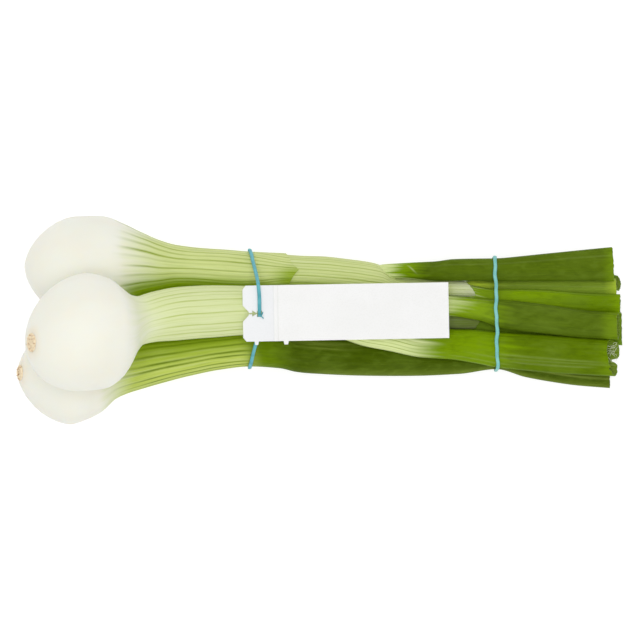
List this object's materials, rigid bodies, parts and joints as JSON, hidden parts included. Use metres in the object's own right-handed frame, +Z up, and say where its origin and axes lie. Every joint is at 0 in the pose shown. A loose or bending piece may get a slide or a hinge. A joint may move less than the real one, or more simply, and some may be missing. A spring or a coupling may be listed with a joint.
{
  "type": "spring onion bunch",
  "caption": "Bunch of large spring onions lying down: round white bulbs, ribbed pale stems and cut hollow leaves, held by rubber bands with a blank card label",
  "frame": {"origin": "centre of the bunch's bounding box, on the surface it lies on", "axes": "+X along the bunch from the bulbs to the cut leaf ends, +Y across it to the onion at the top of the picture, +Z up out of the surface"},
  "size_m": [0.3051, 0.1046, 0.1037],
  "materials": {
    "onion_white": "smooth waxy white to pale green",
    "root_brown": "dry and rough",
    "leaf_dark": "waxy, finely lined",
    "leaf_mid": "waxy, finely lined",
    "leaf_bright": "waxy, finely lined",
    "band_teal": "matt",
    "band_light_teal": "matt",
    "white_card": "uncoated white card"
  },
  "bodies": {
    "root": {"onion_a_bulb": "onion_white", "onion_b_bulb": "onion_white", "onion_c_bulb": "onion_white", "onion_a_roots": "root_brown", "onion_b_roots": "root_brown", "onion_c_roots": "root_brown", "onion_a_leaf_1": "leaf_dark", "onion_a_leaf_2": "leaf_mid", "onion_a_leaf_3": "leaf_bright", "onion_a_leaf_4": "leaf_dark", "onion_b_leaf_1": "leaf_mid", "onion_b_leaf_2": "leaf_bright", "onion_b_leaf_3": "leaf_mid", "onion_c_leaf_1": "leaf_dark", "onion_c_leaf_2": "leaf_mid", "stem_band": "band_teal", "leaf_band": "band_light_teal", "card_label": "white_card"}
  },
  "joints": []
}
